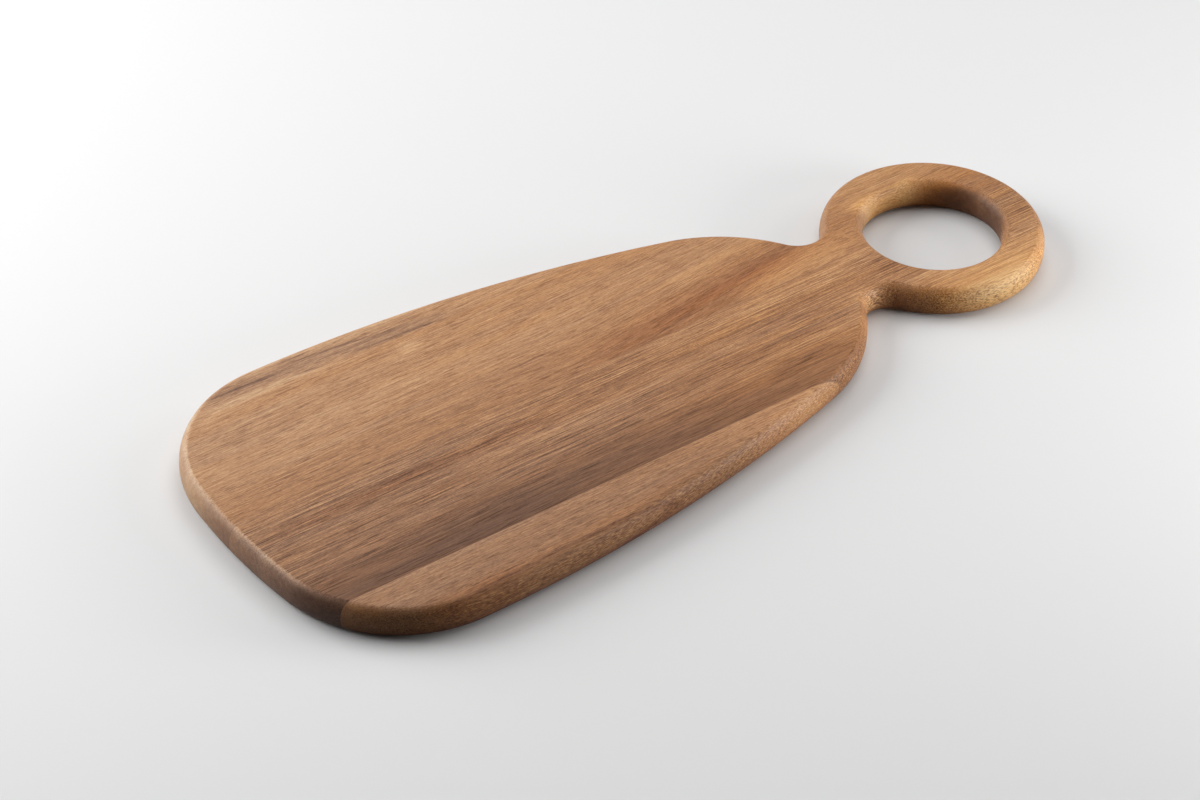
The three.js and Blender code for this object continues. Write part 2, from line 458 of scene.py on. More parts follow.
def place_in_plank():
    """Object coordinates in millimetres, bent by a slow drift, because no fibre runs dead straight.

    Layers of growth lean, so they also shift sideways with the depth below the top face. Beside
    the neck the fibres may sweep aside by some millimetres, as they do around a branch.
    """
    group, given, result = new_group(
        "place in plank",
        [("Drift", FLOAT, 4.0), ("Lean", FLOAT, 0.2), ("Seed", FLOAT, 0.0), ("Sweep", FLOAT, 0.0)],
        [("Place", VECTOR), ("Across", FLOAT), ("Along", FLOAT)],
    )
    here = add_node(group, "ShaderNodeTexCoord").outputs["Object"]
    millimetres = vector_calc(group, "DIVIDE", here, (MM, MM, MM))
    split = add_node(group, "ShaderNodeSeparateXYZ", {"Vector": millimetres}).outputs
    x_seeded = calc(group, "ADD", split["X"], given["Seed"])
    seeded = add_node(group, "ShaderNodeCombineXYZ", {"X": x_seeded, "Y": split["Y"], "Z": split["Z"]})
    slow = vector_calc(group, "DIVIDE", seeded.outputs[0], DRIFT_CELL)
    noise = add_node(group, "ShaderNodeTexNoise", {"Vector": slow, "Scale": 1.0, "Detail": 1.0})
    drift = calc(group, "MULTIPLY", calc(group, "SUBTRACT", noise.outputs["Fac"], 0.5), given["Drift"])
    along = calc(group, "SUBTRACT", split["Y"], BROAD_END_Y / MM)
    from_heart = calc(group, "ABSOLUTE", calc(group, "ADD", split["X"], SWEEP_BESIDE))
    near_heart = ease(group, from_heart, *SWEEP_ACROSS, 1.0, 0.0)
    swept = calc(group, "MULTIPLY", ease(group, along, *SWEEP_ALONG), near_heart)
    drift = calc(group, "MULTIPLY_ADD", swept, given["Sweep"], drift)
    depth = calc(group, "SUBTRACT", split["Z"], THICKNESS / MM)
    across = calc(group, "ADD", calc(group, "MULTIPLY_ADD", depth, given["Lean"], split["X"]), drift)
    x_grown = calc(group, "ADD", across, given["Seed"])
    grown = add_node(group, "ShaderNodeCombineXYZ", {"X": x_grown, "Y": split["Y"], "Z": split["Z"]})
    plug(group, grown.outputs[0], result["Place"])
    plug(group, across, result["Across"])
    plug(group, along, result["Along"])
    return group


PLACE = place_in_plank()

# %% [markdown]
# ### Fibres, pores and streaks
# Seen close up, wood is a bundle of thin fibres, pierced by vessels that open as dashes on a face and
# as dots on end grain, and crossed by broad streaks of colour. A Wave texture would give lines of one
# width, all too even. So fibres and pores are noise drawn out along the plank, and a streak is a soft
# band with a place, a width and two ends. Each is a group, because all three staves use it.

# %% Group: fibres
def drawn_out_noise(group, given, detail):
    """Smooth noise, 0 to 1, with cells of the given Width across the plank and Length along it."""
    sizes = {"X": given["Width"], "Y": given["Length"], "Z": given["Width"]}
    cell = add_node(group, "ShaderNodeCombineXYZ", sizes).outputs[0]
    drawn = vector_calc(group, "DIVIDE", given["Place"], cell)
    inputs = {"Vector": drawn, "Scale": 1.0, "Detail": detail, "Roughness": 0.5}
    return add_node(group, "ShaderNodeTexNoise", inputs).outputs["Fac"]


def fibres():
    """Noise drawn out along the plank, counted from -1, a dark fibre, to 1, a light one."""
    group, given, result = new_group(
        "fibres",
        [("Place", VECTOR, (0, 0, 0)), ("Width", FLOAT, 1.0), ("Length", FLOAT, 30.0)],
        [("Value", FLOAT)],
    )
    noise = drawn_out_noise(group, given, detail=1.0)
    plug(group, calc(group, "MULTIPLY_ADD", noise, 2.0, -1.0), result["Value"])
    return group


FIBRES = fibres()


# %% Group: pores
PORE_EDGE = 0.12


def pores():
    """Open vessels: the peaks of drawn-out noise, as dashes along the plank and dots across it."""
    group, given, result = new_group(
        "pores",
        [
            ("Place", VECTOR, (0, 0, 0)),
            ("Width", FLOAT, 0.8),
            ("Length", FLOAT, 9.0),
            ("From", FLOAT, 0.6),
        ],
        [("Mask", FLOAT)],
    )
    noise = drawn_out_noise(group, given, detail=0.0)
    open_by = calc(group, "ADD", given["From"], PORE_EDGE)
    plug(group, ease(group, noise, given["From"], open_by), result["Mask"])
    return group


PORES = pores()


# %% Group: one streak
def streak():
    """A soft band of colour: 1 on its centre line, 0 beyond its half width, faded at both ends."""
    labels = ("Across", "Along", "Centre", "Slope", "Half Width", "Start", "End", "Fade")
    group, given, result = new_group(
        "streak", [(label, FLOAT, 0.0) for label in labels], [("Mask", FLOAT)]
    )
    walked = calc(group, "SUBTRACT", given["Along"], given["Start"])
    centre = calc(group, "MULTIPLY_ADD", walked, given["Slope"], given["Centre"])
    apart = calc(group, "ABSOLUTE", calc(group, "SUBTRACT", given["Across"], centre))
    body = ease(group, calc(group, "DIVIDE", apart, given["Half Width"]), 0.0, 1.0, 1.0, 0.0)
    begins = ease(group, walked, calc(group, "MULTIPLY", given["Fade"], -1.0), given["Fade"])
    left = calc(group, "SUBTRACT", given["End"], given["Along"])
    ends = ease(group, left, calc(group, "MULTIPLY", given["Fade"], -1.0), given["Fade"])
    plug(group, calc(group, "MULTIPLY", body, calc(group, "MULTIPLY", begins, ends)), result["Mask"])
    return group


STREAK = streak()

# %% [markdown]
# ### Edges that face other ways
# Wood changes with the way it is cut. End grain drinks oil and a flank cuts the pores aslant into
# bold flecks. A sheen is painted onto the rim where the top face turns over, and painted shade onto
# the lower half of an edge. The shader's own normal could tell these apart, but it is only as true as
# the mesh's shading. The loft knows the exact direction of the rounding, so every point carries it as
# the attribute "facing".

# %% Group: which way the surface faces
END_GRAIN, FIBRE_TIPS = (0.5, 1.0), (0.1, 0.6)
PAINTED_SHEEN_BEGINS, PAINTED_SHEEN_ENDS = (0.05, 0.36), (0.4, 0.8)
STEEP, SIDEWAYS, DOWNWARD = (0.25, 0.95), (0.3, 0.8), (0.1, -0.5)


def facing_masks():
    """Masks from the direction of the surface, each a smooth step between two values of X, Y or Z.

    End grain faces along the fibres, fibre tips show all around it, the rim is where the top face
    begins to turn over towards it and takes a painted sheen, a flank is a steep side that runs along the
    fibres, and the lower half of every edge looks down and takes painted shade.
    """
    masks = ("End Grain", "Fibre Tips", "Rim", "Flank", "Looking Down")
    group, _, result = new_group("facing", [], [(mask, FLOAT) for mask in masks])
    facing = add_node(group, "ShaderNodeAttribute", attribute_name="facing").outputs["Vector"]
    towards = add_node(group, "ShaderNodeSeparateXYZ", {"Vector": facing}).outputs
    sideways, lengthways, upright = (calc(group, "ABSOLUTE", towards[axis]) for axis in "XYZ")
    plug(group, ease(group, lengthways, *END_GRAIN), result["End Grain"])
    plug(group, ease(group, lengthways, *FIBRE_TIPS), result["Fibre Tips"])
    begins = ease(group, lengthways, *PAINTED_SHEEN_BEGINS)
    ends = ease(group, lengthways, *PAINTED_SHEEN_ENDS, 1.0, 0.0)
    plug(group, calc(group, "MULTIPLY", begins, ends), result["Rim"])
    steep = ease(group, upright, *STEEP, 1.0, 0.0)
    plug(group, calc(group, "MULTIPLY", steep, ease(group, sideways, *SIDEWAYS)), result["Flank"])
    plug(group, ease(group, towards["Z"], *DOWNWARD), result["Looking Down"])
    return group


FACING = facing_masks()

# %% [markdown]
# ### From tone to oil
# Oil makes wood darker and warmer, and end grain drinks the most of it. Every pattern could mix in a
# colour of its own, but many mixes on top of one another turn muddy. So all of them add up to one
# number, the tone, and this group turns the tone into a colour, which keeps the staves alike in kind.
# Warmth and red only tint the result, because on the real planks the hue wanders from golden to grey
# and to a reddish heart while the tone stays the same.

# %% Group: tone to oiled colour
WOOD_TONES = {
    20: on_screen(30, 17, 10),
    60: on_screen(81, 53, 37),
    93: on_screen(119, 85, 64),
    115: on_screen(147, 106, 77),
    135: on_screen(169, 125, 91),
    148: on_screen(185, 139, 100),
    176: on_screen(210, 167, 124),
    205: on_screen(236, 198, 152),
}
DARKEST, PALEST = min(WOOD_TONES), max(WOOD_TONES)
WARM_STEP = (0.0, -0.05, -0.13)
RED_STEP = (0.03, -0.17, -0.24)
SATIN, PORE_DULLNESS = 0.54, 0.2


def oiled_wood():
    """Tone as seen on screen, to a colour: ramp(tone) * (1 + warmth * WARM_STEP + red * RED_STEP).

    Pores are a little duller than the wood around them, and lie a hair deeper.
    """
    labels = {"Tone": 140.0, "Warmth": 0.0, "Red": 0.0, "Pores": 0.0}
    group, given, result = new_group(
        "oiled wood",
        [(label, FLOAT, default) for label, default in labels.items()],
        [("Color", COLOR), ("Roughness", FLOAT), ("Height", FLOAT)],
    )
    level = calc(group, "DIVIDE", calc(group, "SUBTRACT", given["Tone"], DARKEST), PALEST - DARKEST)
    stops = [((at - DARKEST) / (PALEST - DARKEST), colour) for at, colour in WOOD_TONES.items()]
    plain = colour_ramp(group, level, stops)
    tint = vector_calc(group, "MULTIPLY_ADD", given["Warmth"], WARM_STEP, (1.0, 1.0, 1.0))
    tint = vector_calc(group, "MULTIPLY_ADD", given["Red"], RED_STEP, tint)
    plug(group, vector_calc(group, "MULTIPLY", plain, tint), result["Color"])
    plug(group, calc(group, "MULTIPLY_ADD", given["Pores"], PORE_DULLNESS, SATIN), result["Roughness"])
    plug(group, calc(group, "MULTIPLY", given["Pores"], -1.0), result["Height"])
    return group


OILED_WOOD = oiled_wood()

# %% [markdown]
# ### Each plank's own figure
# A maker picks planks by eye: this one for its golden bands, that one for its dark heart. One pattern
# with three seeds would make them twins. So each stave gets its own list of plain bands across the
# plank, streaks that start and end along it, and lines and pores of its own fineness, in millimetres
# from the broad end and the centre line.
#
# A tone counts as on screen, from 0 to 255. Warmth and red are small steps of tint. Soaked is what oil
# takes off the tone of end grain, and below 0 a pale sheen painted onto it. Rim is a painted sheen where
# the top turns over, flecked is how boldly a flank shows the pores, and stained is painted shade on the
# lower half of an edge. The tip tint is the oil's warmth above 0 and a painted grey sheen below 0. Below
# 0, each works the other way.

# %% Bands across a plank
FULL_TONE, WARMTH_SPAN, CONTRAST_SPAN = 255.0, 4.0, 2.0


def banded(tree, across, bands):
    """Tone, warmth and contrast across the plank: a soft ramp through rows of a place and those three.

    A ramp holds colours from 0 to 1, so the three are scaled into red, green and blue, and back.
    """
    first, last = bands[0][0], bands[-1][0]
    share = calc(tree, "DIVIDE", calc(tree, "SUBTRACT", across, first), last - first)
    stops = []
    for place, tone, warmth, contrast in bands:
        colour = (tone / FULL_TONE, 0.5 + warmth / WARMTH_SPAN, contrast / CONTRAST_SPAN, 1.0)
        stops.append(((place - first) / (last - first), colour))
    ramp = colour_ramp(tree, share, stops, "EASE")
    parts = add_node(tree, "ShaderNodeSeparateColor", {"Color": ramp}).outputs
    return {
        "Tone": calc(tree, "MULTIPLY", parts["Red"], FULL_TONE),
        "Warmth": calc(tree, "MULTIPLY_ADD", parts["Green"], WARMTH_SPAN, -WARMTH_SPAN / 2),
        "Contrast": calc(tree, "MULTIPLY", parts["Blue"], CONTRAST_SPAN),
    }


print(f"a band's warmth may lie between {-WARMTH_SPAN / 2} and {WARMTH_SPAN / 2}")

# %% Fibres over the bands
TIPS_HUSH = 0.65
MOTTLE, MOTTLE_WIDTH, MOTTLE_LENGTH = 15.0, 2.2, 9.0
HUE_WANDER = [(2.6, 90, 0.9), (9, 150, 1.3)]


def add_fibres(tree, look, at, wood):
    """Fine lines, tone + strength * contrast * noise for each, and slow changes of hue in the same way.

    Where the fibres' tips show, the lines are faint and a coarser mottle takes their place.
    """
    tips = place_group(tree, FACING)["Fibre Tips"]
    hushed = calc(tree, "MULTIPLY_ADD", tips, -TIPS_HUSH, 1.0)
    contrast = calc(tree, "MULTIPLY", look.pop("Contrast"), hushed)
    mottle = place_group(tree, FIBRES, Place=at, Width=MOTTLE_WIDTH, Length=MOTTLE_LENGTH)["Value"]
    mottle = calc(tree, "MULTIPLY", mottle, tips)
    look["Tone"] = calc(tree, "MULTIPLY_ADD", mottle, MOTTLE, look["Tone"])
    for width, length, strength in wood["lines"]:
        line = place_group(tree, FIBRES, Place=at, Width=width, Length=length)["Value"]
        shown = calc(tree, "MULTIPLY", line, contrast)
        look["Tone"] = calc(tree, "MULTIPLY_ADD", shown, strength, look["Tone"])
    for width, length, strength in HUE_WANDER:
        hue = place_group(tree, FIBRES, Place=at, Width=width, Length=length)["Value"]
        look["Warmth"] = calc(tree, "MULTIPLY_ADD", hue, strength, look["Warmth"])


print("the hue wanders in cells of", [f"{width} by {length} mm" for width, length, _ in HUE_WANDER])

# %% What oil does to the edges, with a painted sheen and painted shade
PAINTED_SHEEN_WARMTH, UNDERSIDE_SHADE_RED = -0.06, 0.02


def treat_edges(tree, look):
    """Tone - soaked end grain + painted sheen on the rim - painted shade below, each a mask times its
    strength.
    """
    facing = place_group(tree, FACING)
    soaked = calc(tree, "MULTIPLY", facing["End Grain"], look.pop("Soaked"))
    look["Tone"] = calc(tree, "SUBTRACT", look["Tone"], soaked)
    # The rim takes a painted sheen: paler and a little cooler.
    painted_sheen = calc(tree, "MULTIPLY", facing["Rim"], look.pop("Rim"))
    look["Tone"] = calc(tree, "ADD", look["Tone"], painted_sheen)
    look["Warmth"] = calc(tree, "MULTIPLY_ADD", painted_sheen, PAINTED_SHEEN_WARMTH, look["Warmth"])
    # The lower half of each edge takes painted shade: darker and a little redder.
    stained = calc(tree, "MULTIPLY", facing["Looking Down"], look.pop("Stained"))
    look["Tone"] = calc(tree, "SUBTRACT", look["Tone"], stained)
    look["Red"] = calc(tree, "MULTIPLY_ADD", stained, UNDERSIDE_SHADE_RED, look["Red"])
    # Fibre tips take the oil's warmth, and below 0 a painted grey sheen.
    tip_tint = calc(tree, "MULTIPLY", facing["Fibre Tips"], look.pop("Tip_Warmth_And_Painted_Sheen"))
    look["Warmth"] = calc(tree, "ADD", look["Warmth"], tip_tint)


# A rim here is a painted sheen, and a stain is painted shade.
print(f"for each step of tone a rim cools by {-PAINTED_SHEEN_WARMTH} and a stain reddens by {UNDERSIDE_SHADE_RED}")

# %% Pores, flecks and oil
PORE_RELIEF, PORE_DEPTH = 0.25, 0.1 * MM
GLOSS = 0.30


def add_pores(tree, look, at, wood):
    """Dark dashes everywhere but on end grain, and bolder flecks where a flank cuts the pores aslant."""
    facing = place_group(tree, FACING)
    width, length, start, strength = wood["pores"]
    dashes = place_group(tree, PORES, Place=at, Width=width, Length=length, From=start)["Mask"]
    dashes = calc(tree, "MULTIPLY", dashes, calc(tree, "SUBTRACT", 1.0, facing["End Grain"]))
    look["Tone"] = calc(tree, "MULTIPLY_ADD", dashes, -strength, look["Tone"])
    width, length = wood["flecks"]
    flecks = place_group(tree, FIBRES, Place=at, Width=width, Length=length)["Value"]
    bold = calc(tree, "MULTIPLY", facing["Flank"], look.pop("Flecked"))
    look["Tone"] = calc(tree, "MULTIPLY_ADD", flecks, bold, look["Tone"])
    return dashes


def finish_with_oil(tree, oil):
    """Plugs the oiled wood's colour, roughness and fine relief into the surface."""
    surface = tree.nodes["Principled BSDF"].inputs
    bump = {"Height": oil["Height"], "Strength": PORE_RELIEF, "Distance": PORE_DEPTH}
    plug(tree, oil["Color"], surface["Base Color"])
    plug(tree, oil["Roughness"], surface["Roughness"])
    surface["Specular IOR Level"].default_value = GLOSS
    plug(tree, add_node(tree, "ShaderNodeBump", bump).outputs["Normal"], surface["Normal"])


print(f"pores lie {PORE_DEPTH / MM:.1f} mm deep, under oil with a gloss of {GLOSS}")

# %% A stave's own wood
BENDS = ("Seed", "Drift", "Lean", "Sweep")
EDGE_LOOKS = ("Soaked", "Tip_Warmth_And_Painted_Sheen", "Flecked", "Stained")
STREAK_SIZES = ("Centre", "Slope", "Half_Width", "Start", "End", "Fade")
RAGGED_WIDTH, RAGGED_LENGTH = 4.0, 45.0
COOL_START, GOLDEN_END, GOLDEN_BY = -0.5, 1.4, 330.0


def stave_wood(name, wood):
    """A stave's material: bands, streaks, fibres, pores and flecks make one tone, which oil colours.

    Warmth rises towards the neck, so the colour turns more golden there. A streak is a mask times
    each change that its row names, added to that part of the look, and it runs straight where the row
    names no slope.
    """
    material = bpy.data.materials.new(name)
    material.use_nodes = True
    tree = material.node_tree
    place = place_group(tree, PLACE, **{label: wood[label.lower()] for label in BENDS})
    at, along = place["Place"], place["Along"]
    wobble = place_group(tree, FIBRES, Place=at, Width=RAGGED_WIDTH, Length=RAGGED_LENGTH)["Value"]
    across = calc(tree, "MULTIPLY_ADD", wobble, wood["ragged"], place["Across"])
    look = banded(tree, across, wood["bands"])
    golden = ease(tree, along, 0.0, GOLDEN_BY, COOL_START, GOLDEN_END)
    look["Warmth"] = calc(tree, "ADD", look["Warmth"], golden)
    look.update({label: wood[label.lower()] for label in EDGE_LOOKS}, Red=0.0, Rim=0.0)
    for mark in wood["streaks"]:
        sizes = {label: mark.get(label.lower(), 0.0) for label in STREAK_SIZES}
        mask = place_group(tree, STREAK, Across=across, Along=along, **sizes)["Mask"]
        for label in look:
            if label.lower() in mark:
                look[label] = calc(tree, "MULTIPLY_ADD", mask, mark[label.lower()], look[label])
    add_fibres(tree, look, at, wood)
    treat_edges(tree, look)
    pores = add_pores(tree, look, at, wood)
    finish_with_oil(tree, place_group(tree, OILED_WOOD, Pores=pores, **look))
    print(f"{name}: {len(wood['bands'])} bands and {len(wood['streaks'])} streaks")
    return material


print(f"warmth {COOL_START} at the broad end, {GOLDEN_END} from {GOLDEN_BY:.0f} mm on")

# %% Left stave: golden, with dark veins along its edge and a reddish heart beside the neck
AT_BROAD_END = dict(start=-30, end=40, fade=10)

# A dark place that the left joint runs through, so the staves on both sides have it
JOINT_SHADE = dict(centre=0, half_width=7, start=98, end=128, fade=10, tone=-11)

LEFT_WOOD = {
    "seed": 310.0, "drift": 3.0, "lean": 0.15, "sweep": 14.0, "ragged": 1.5,
    # A soak below 0 and a grey tip tint paint a pale sheen on this stave's end grain.
    "soaked": -10.0, "tip_warmth_and_painted_sheen": -2.4, "flecked": 16.0, "flecks": (0.6, 3.0), "stained": 0.0,
    "bands": [
        (-94, 149, -0.2, 1.0), (-84, 148, -0.2, 1.0), (-75, 152, -0.2, 1.0), (-69, 148, 0.9, 1.0),
        (-61, 150, 0.2, 1.0), (-54, 144, 0.1, 1.0), (-45, 150, 0.0, 1.0), (-31, 147, 0.3, 1.0),
        (-20, 140, 0.9, 1.0), (-8, 136, 1.0, 1.0), (-3, 131, 0.7, 1.0),
    ],
    "streaks": [
        # Dark veins along the far edge, with pale patches beside them
        dict(centre=-86, slope=0.08, half_width=8, start=35, end=165, fade=18, tone=-15, warmth=-1.0),
        dict(centre=-84, slope=0.05, half_width=1.4, start=42, end=72, fade=10, tone=-34, warmth=-0.5),
        dict(centre=-88, slope=0.02, half_width=1.3, start=78, end=96, fade=8, tone=-28, warmth=-0.4),
        dict(centre=-85, slope=0.09, half_width=1.3, start=86, end=122, fade=10, tone=-28, warmth=-0.5),
        dict(centre=-76.5, slope=0.06, half_width=1.3, start=82, end=94, fade=6, tone=-34, warmth=-0.5),
        dict(centre=-80, half_width=1.5, start=128, end=142, fade=8, tone=-26, warmth=-0.4),
        dict(centre=-77, slope=0.09, half_width=1.6, start=116, end=160, fade=10, tone=-34, warmth=-0.5),
        dict(centre=-76, slope=0.02, half_width=3, start=38, end=92, fade=8, tone=14, warmth=-0.7),
        dict(centre=-66, half_width=6, start=131, end=142, fade=4, tone=14, warmth=-0.5),
        # The reddish heart beside the neck, and golden wood after it
        dict(centre=-9, half_width=15, start=200, end=330, fade=26, tone=-11, red=0.4),
        dict(centre=-10, half_width=5, start=240, end=320, fade=20, tone=-7, red=0.2),
        dict(centre=3, half_width=16, start=290, end=360, fade=18, tone=27, warmth=0.2),
        JOINT_SHADE,
        # The broad end, darker by the joint, with a painted sheen on its rim, left corner and far edge
        dict(centre=-4, half_width=38, **AT_BROAD_END, soaked=36, tip_warmth_and_painted_sheen=0.1),
        dict(centre=-50, half_width=90, **AT_BROAD_END, soaked=6, rim=16),
        dict(centre=-95, slope=0.03, half_width=7, start=-20, end=260, fade=20, tone=18, warmth=-1.1),
        dict(centre=-86, half_width=30, start=-30, end=34, fade=10, tip_warmth_and_painted_sheen=-1.8),
        # Towards the shoulder
        dict(centre=-30, half_width=10, start=262, end=330, fade=12, tone=10),
        # The ring, the golden left wall of its hole with a painted highlight, and the dark far one
        dict(centre=-36, half_width=40, start=372, end=470, fade=16, tone=5, warmth=0.5, red=-0.12),
        dict(centre=-20, half_width=9, start=372, end=412, fade=8, tone=46, warmth=1.2),
        dict(centre=-10, half_width=40, start=408, end=470, fade=8, soaked=86, tip_warmth_and_painted_sheen=4.0),
    ],
    "lines": [(0.36, 1.5, 25), (0.36, 6, 22), (0.42, 20, 32), (0.5, 70, 28), (2.5, 90, 4), (9, 170, 7)],
    "pores": (0.45, 7.0, 0.58, 18.0),
}
LEFT_FINISH = stave_wood("left_stave_wood", LEFT_WOOD)

# %% Centre stave: brown and straight-lined, darkest along its right-hand joint
CENTRE_WOOD = {
    "seed": 740.0, "drift": 3.0, "lean": 0.15, "sweep": 0.0, "ragged": 1.5,
    # The lower half of this stave's edges takes a little painted shade.
    "soaked": 14.0, "tip_warmth_and_painted_sheen": 0.3, "flecked": 112.0, "flecks": (0.48, 1.9), "stained": 8.0,
    "bands": [
        (-3, 136, 0.7, 1.1), (4, 128, 0.4, 1.2), (11, 123, 0.7, 1.2), (16, 125, 0.6, 1.1),
        (21, 133, 0.4, 1.1), (29, 125, 0.5, 1.1), (37, 127, 0.7, 1.0), (44, 119, 1.2, 0.9),
        (52, 117, 1.6, 0.65), (60, 112, 1.6, 0.5), (65, 110, 1.6, 0.5),
    ],
    "streaks": [
        # The body, brown towards the right-hand joint
        dict(centre=58, half_width=30, start=-20, end=215, fade=60, tone=-19, warmth=-0.3),
        dict(centre=30, half_width=40, start=-10, end=130, fade=50, tone=-6),
        dict(centre=12, half_width=5, start=10, end=150, fade=30, tone=-7, red=0.15),
        # The broad end: painted sheen on the left of its rim and end grain, and on the right dark end
        # grain under a rim of painted shade
        dict(centre=30, half_width=90, **AT_BROAD_END, tip_warmth_and_painted_sheen=-2.8, rim=30),
        dict(centre=64, half_width=56, **AT_BROAD_END, soaked=28, tip_warmth_and_painted_sheen=0.6),
        dict(centre=66, half_width=40, **AT_BROAD_END, rim=-36),
        # Bands that run from the middle to the shoulder
        dict(centre=5, half_width=14, start=215, end=360, fade=40, tone=12, warmth=0.3),
        dict(centre=19, half_width=6, start=200, end=290, fade=30, tone=9),
        dict(centre=40, half_width=8, start=215, end=330, fade=30, tone=15),
        dict(centre=60, half_width=20, start=278, end=330, fade=20, tone=14, warmth=-0.3),
        dict(centre=40, half_width=24, start=300, end=350, fade=20, tone=10, warmth=-0.3),
        dict(centre=-1, half_width=6, start=274, end=345, fade=10, tone=10),
        dict(centre=54, half_width=8, start=282, end=330, fade=10, tone=-10),
        dict(centre=17, half_width=5, start=158, end=192, fade=10, tone=9),
        # Small darker and lighter places
        dict(centre=10, half_width=5, start=64, end=96, fade=12, tone=-6, red=0.2),
        JOINT_SHADE,
        dict(centre=54, half_width=24, start=62, end=130, fade=22, tone=-9),
        dict(centre=12, half_width=24, start=318, end=350, fade=16, tone=10),
        # The ring, its right flank, the neck and the far wall of the hole
        dict(centre=50, half_width=34, start=352, end=470, fade=16, tone=52, warmth=0.1, red=-0.1),
        dict(centre=12, half_width=26, start=395, end=470, fade=16, tone=7, red=-0.14),
        # The right flank: lighter wood, with a painted highlight on it
        dict(centre=60, half_width=16, start=374, end=440, fade=12, tone=38, warmth=-1.0, red=-0.5),
        # At the neck's fillet a painted highlight, then painted shade beside it
        dict(centre=27, half_width=7, start=328, end=342, fade=6, tone=26, warmth=-0.4),
        dict(centre=42, half_width=14, start=346, end=368, fade=8, tone=-22, warmth=1.0),
        # The far wall of the hole: dark end grain under a painted grey sheen
        dict(centre=8, half_width=40, start=404, end=470, fade=8, soaked=40, tip_warmth_and_painted_sheen=-1.7),
    ],
    "lines": [
        (0.36, 1.5, 28), (0.36, 12, 38), (0.4, 40, 48), (0.5, 120, 38), (2.2, 130, 5), (7, 200, 6),
    ],
    "pores": (0.45, 12.0, 0.58, 18.0),
}
CENTRE_FINISH = stave_wood("centre_stave_wood", CENTRE_WOOD)

# %% Right stave: pale and pinkish
RIGHT_WOOD = {
    "seed": 1250.0, "drift": 2.0, "lean": 0.15, "sweep": 0.0, "ragged": 1.5,
    # The lower half of this stave's edges takes painted shade, and its end grain the oil's warmth.
    "soaked": 20.0, "tip_warmth_and_painted_sheen": 1.9, "flecked": 70.0, "flecks": (0.38, 2.6), "stained": 18.0,
    "bands": [
        (65, 133, 0.1, 1.0), (72, 130, 0.2, 1.0), (80, 125, 0.6, 1.0), (88, 126, 1.2, 1.0),
        (94, 130, 1.4, 1.0),
    ],
    "streaks": [
        # Paler towards the shoulder
        dict(centre=72, half_width=30, start=215, end=330, fade=30, tone=15, warmth=-0.3),
        # The front corner, a dark vein and the long edge, with more painted shade on its lower half
        dict(centre=93, half_width=12, start=20, end=84, fade=14, tone=-14, warmth=1.4, red=0.1),
        dict(
            centre=90.5, slope=-0.03, half_width=1.5, start=55, end=200, fade=20,
            tone=-24, warmth=0.4, red=0.25,
        ),
        dict(centre=92, half_width=14, start=140, end=300, fade=24, tone=14, red=0.15, warmth=-0.4),
        dict(centre=92, half_width=20, start=136, end=222, fade=20, stained=16),
        # The pale pink tip
        dict(centre=72, half_width=18, start=248, end=310, fade=16, tone=20, warmth=0.2),
        dict(centre=88, half_width=22, start=226, end=310, fade=12, tone=15, red=0.3),
        dict(centre=78, half_width=26, start=232, end=310, fade=16, red=0.3, warmth=-0.2),
    ],
    "lines": [(0.36, 1.5, 25), (0.36, 6, 22), (0.42, 18, 30), (0.5, 70, 28), (3, 80, 7)],
    "pores": (0.45, 5.0, 0.58, 18.0),
}
RIGHT_FINISH = stave_wood("right_stave_wood", RIGHT_WOOD)

# %% [markdown]
# ### Glue
# Good joints are squeezed until hardly any glue is left. What shows is a hair's breadth of cured
# film, stained by the same oil, a little darker than its neighbours and faintly cloudy. A dark line
# drawn on the wood would end at the surface. The film is a piece of its own, so it gets a finish too.

# %% Glue film
GLUE_TONE, GLUE_CLOUD, GLUE_SOAKED = 120.0, 16.0, 26.0
CLOUD_WIDTH, CLOUD_LENGTH, CLOUD_SEED = 1.5, 6.0, 90.0


def glue_film(name):
    """Cured glue: one tone with a soft cloudy noise, darker on end grain, under the wood's own oil."""
    material = bpy.data.materials.new(name)
    material.use_nodes = True
    tree = material.node_tree
    place = place_group(tree, PLACE, Drift=0.0, Lean=0.0, Seed=CLOUD_SEED, Sweep=0.0)["Place"]
    cloud = place_group(tree, FIBRES, Place=place, Width=CLOUD_WIDTH, Length=CLOUD_LENGTH)["Value"]
    tone = calc(tree, "MULTIPLY_ADD", cloud, GLUE_CLOUD, GLUE_TONE)
    soaked = calc(tree, "MULTIPLY", place_group(tree, FACING)["End Grain"], GLUE_SOAKED)
    finish_with_oil(tree, place_group(tree, OILED_WOOD, Tone=calc(tree, "SUBTRACT", tone, soaked)))
    print(f"{name}: tone {GLUE_TONE:.0f}")
    return material


GLUE_FINISH = glue_film("glue_film")

# %% [markdown]
# ### Dressing the pieces
# Each piece takes its finish, rides on the frame's one body and stands in for the plain solid of the
# same name. Faces, edges and end grain could have a material each. One for a whole piece is enough
# here, because they all cut through the same solid pattern.

# %% Dress the pieces and tie them to the frame
FINISHES = {"left_stave": LEFT_FINISH, "centre_stave": CENTRE_FINISH, "right_stave": RIGHT_FINISH}

for node_name, piece in pieces.items():
    piece.data.materials.append(FINISHES.get(node_name, GLUE_FINISH))
    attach(piece, "root")
    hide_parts(node_name)
print(len(pieces), "pieces dressed")

# %% [markdown]
# ## The camera
# The board was photographed from beyond its right front corner, through a long lens that keeps near
# and far much the same size. A camera could be dragged about until the picture fits. Here it is set
# by angles, a distance and the spot that it aims at, so that the lamps can be placed from it too.

